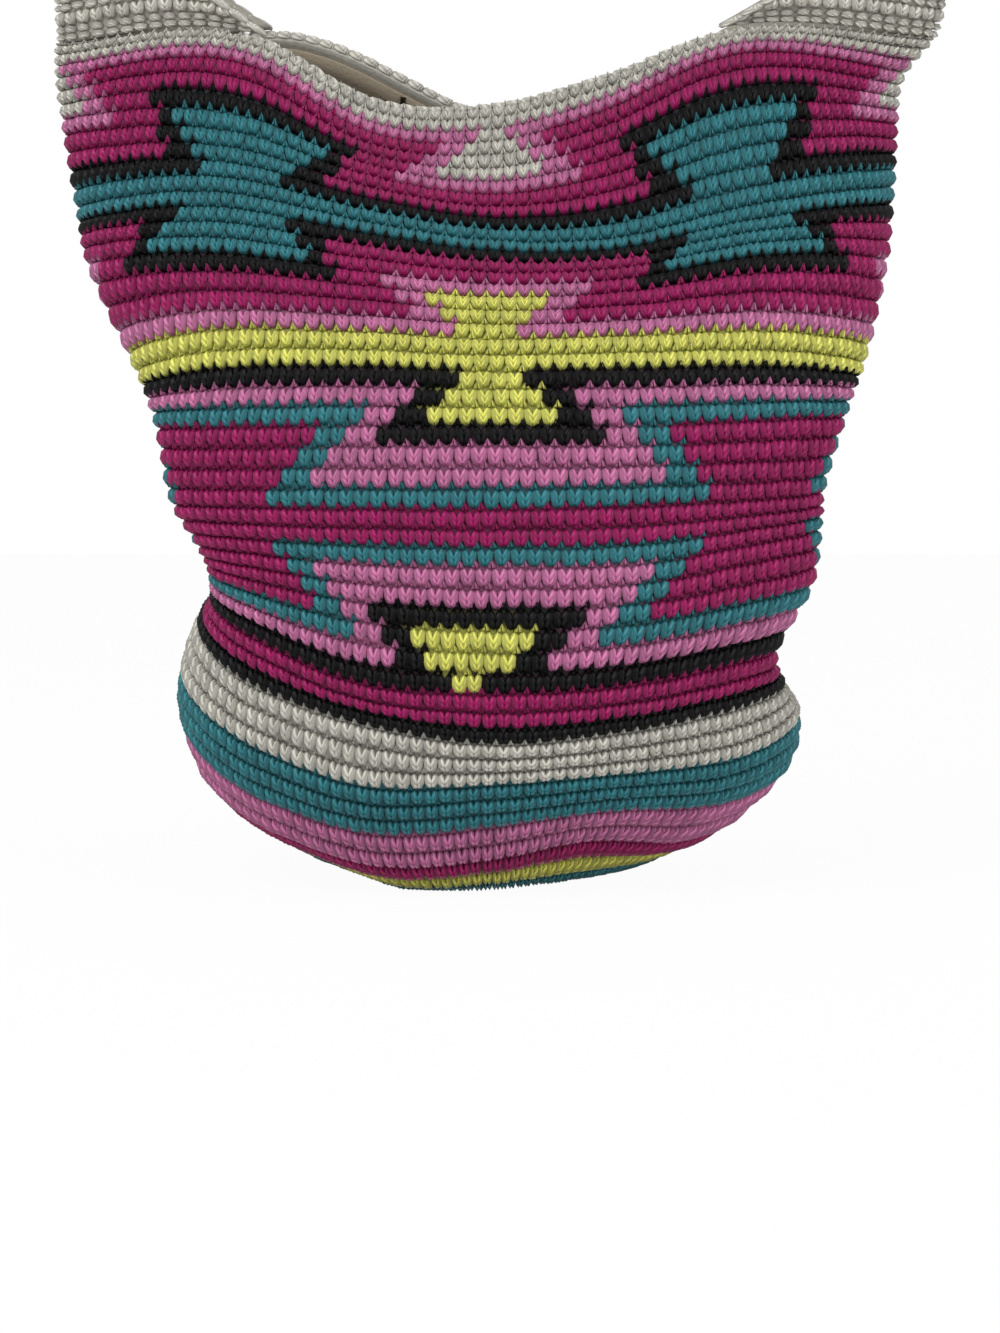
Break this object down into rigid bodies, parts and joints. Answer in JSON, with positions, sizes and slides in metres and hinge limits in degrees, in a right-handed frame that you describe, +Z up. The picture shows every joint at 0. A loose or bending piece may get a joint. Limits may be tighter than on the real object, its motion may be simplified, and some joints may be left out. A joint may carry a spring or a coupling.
{
  "type": "crochet hobo bag",
  "caption": "Soft crocheted bucket bag with a geometric pattern, wide shoulders rising into one arched shoulder strap, and a fabric lining, standing upright",
  "frame": {"origin": "middle of the bounding box on the surface that the bag stands on", "axes": "+Z up, -Y towards the front of the bag, X along the strap's arch"},
  "size_m": [0.3441, 0.226, 0.5823],
  "materials": {
    "patterned_yarn": "satin nylon yarn in magenta, pink, teal, black, yellow and bone",
    "bone_yarn": "satin yarn",
    "lining_fabric": "matt woven cloth"
  },
  "bodies": {
    "root": {"crochet_body": "patterned_yarn", "strap": "bone_yarn", "lining": "lining_fabric"}
  },
  "joints": []
}
